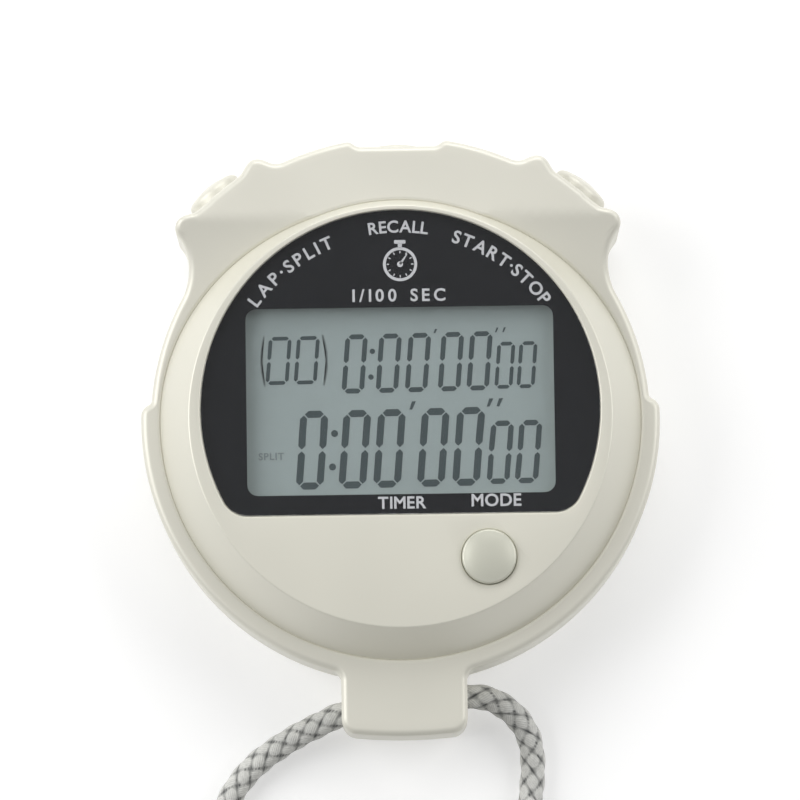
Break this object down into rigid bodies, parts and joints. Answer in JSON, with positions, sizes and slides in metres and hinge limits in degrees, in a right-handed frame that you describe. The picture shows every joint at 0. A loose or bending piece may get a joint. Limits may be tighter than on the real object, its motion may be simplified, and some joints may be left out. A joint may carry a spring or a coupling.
{
  "type": "handheld digital stopwatch",
  "caption": "Round handheld digital stopwatch with a D-shaped window, two-row display, push buttons along the top, a face button and a corded lug.",
  "frame": {"origin": "the middle of the round case on the flat of its back", "axes": "+Z out of the face, +Y towards the top button at 12 o'clock, +X towards 3 o'clock; the back rests at Z = 0"},
  "size_m": [0.064, 0.1316, 0.0191],
  "materials": {
    "silver_case": "satin silver lacquer on moulded plastic",
    "silver_face": "satin silver lacquer, slightly lighter face",
    "silver_button": "satin silver lacquer, slightly darker buttons",
    "clear_lens": "clear polished acrylic",
    "black_print": "black print with pale grey legends",
    "lcd_glass": "grey-green liquid crystal glass",
    "lcd_reflector": "grey-green reflector film",
    "white_plastic": "moulded, matt",
    "green_board": "solder mask",
    "black_resin": "poured resin",
    "capacitor_tan": "ceramic",
    "trimmer_blue": "moulded",
    "black_rubber": "soft matt",
    "screw_steel": "plated",
    "spring_steel": "bright drawn wire and strip",
    "cell_steel": "pressed, bright",
    "contact_brass": "bright strip",
    "braided_cord": "grey round braid with darker flecks"
  },
  "bodies": {
    "case": {"front_case": "silver_case", "rear_case": "silver_case", "face_bezel": "silver_face", "case_gasket": "black_rubber", "case_screws": "screw_steel", "lens": "clear_lens", "window_mask": "black_print", "lcd_glass": "lcd_glass", "lcd_reflector": "lcd_reflector", "lcd_holder": "white_plastic", "zebra_strips": "black_rubber", "circuit_board": "green_board", "board_screws": "screw_steel", "chip_blob": "black_resin", "crystal_can": "screw_steel", "board_capacitors": "capacitor_tan", "trimmer": "trimmer_blue", "buzzer_disc": "contact_brass", "buzzer_spring": "contact_brass", "battery": "cell_steel", "battery_plus_clip": "contact_brass", "battery_minus_contact": "contact_brass", "start_stop_spring": "spring_steel", "start_stop_leaf": "contact_brass", "lap_split_spring": "spring_steel", "lap_split_leaf": "contact_brass", "recall_spring": "spring_steel", "recall_leaf": "contact_brass", "mode_spring": "spring_steel", "mode_dome": "spring_steel", "cord_right": "braided_cord", "cord_left": "braided_cord", "cord_coil": "braided_cord"},
    "start_stop_button": {"start_stop_cap": "silver_button", "start_stop_clip": "spring_steel"},
    "lap_split_button": {"lap_split_cap": "silver_button", "lap_split_clip": "spring_steel"},
    "recall_button": {"recall_cap": "silver_button", "recall_clip": "spring_steel"},
    "mode_button": {"mode_cap": "silver_button"},
    "battery_hatch": {"battery_door": "silver_case", "door_gasket": "black_rubber"}
  },
  "joints": [
    {"name": "start_stop_press", "type": "slide", "parent": "case", "child": "start_stop_button", "axis": [-0.6211, -0.7837, 0], "range_m": [0, 0.0012], "stiffness_N_per_m": 2000, "springref_m": -0.0008, "deforming": ["start_stop_spring", "start_stop_leaf"]},
    {"name": "lap_split_press", "type": "slide", "parent": "case", "child": "lap_split_button", "axis": [0.6211, -0.7837, 0], "range_m": [0, 0.0012], "stiffness_N_per_m": 2000, "springref_m": -0.0008, "deforming": ["lap_split_spring", "lap_split_leaf"]},
    {"name": "recall_press", "type": "slide", "parent": "case", "child": "recall_button", "axis": [0, -1, 0], "range_m": [0, 0.0008], "stiffness_N_per_m": 2000, "springref_m": -0.0008, "deforming": ["recall_spring", "recall_leaf"]},
    {"name": "mode_press", "type": "slide", "parent": "case", "child": "mode_button", "axis": [0, 0, -1], "range_m": [0, 0.0008], "stiffness_N_per_m": 2000, "springref_m": -0.0008, "deforming": ["mode_spring"]},
    {"name": "battery_door_turn", "type": "hinge", "parent": "case", "child": "battery_hatch", "pos_m": [0, -0.0136, 0], "axis": [0, 0, -1], "range_deg": [0, 40]}
  ]
}
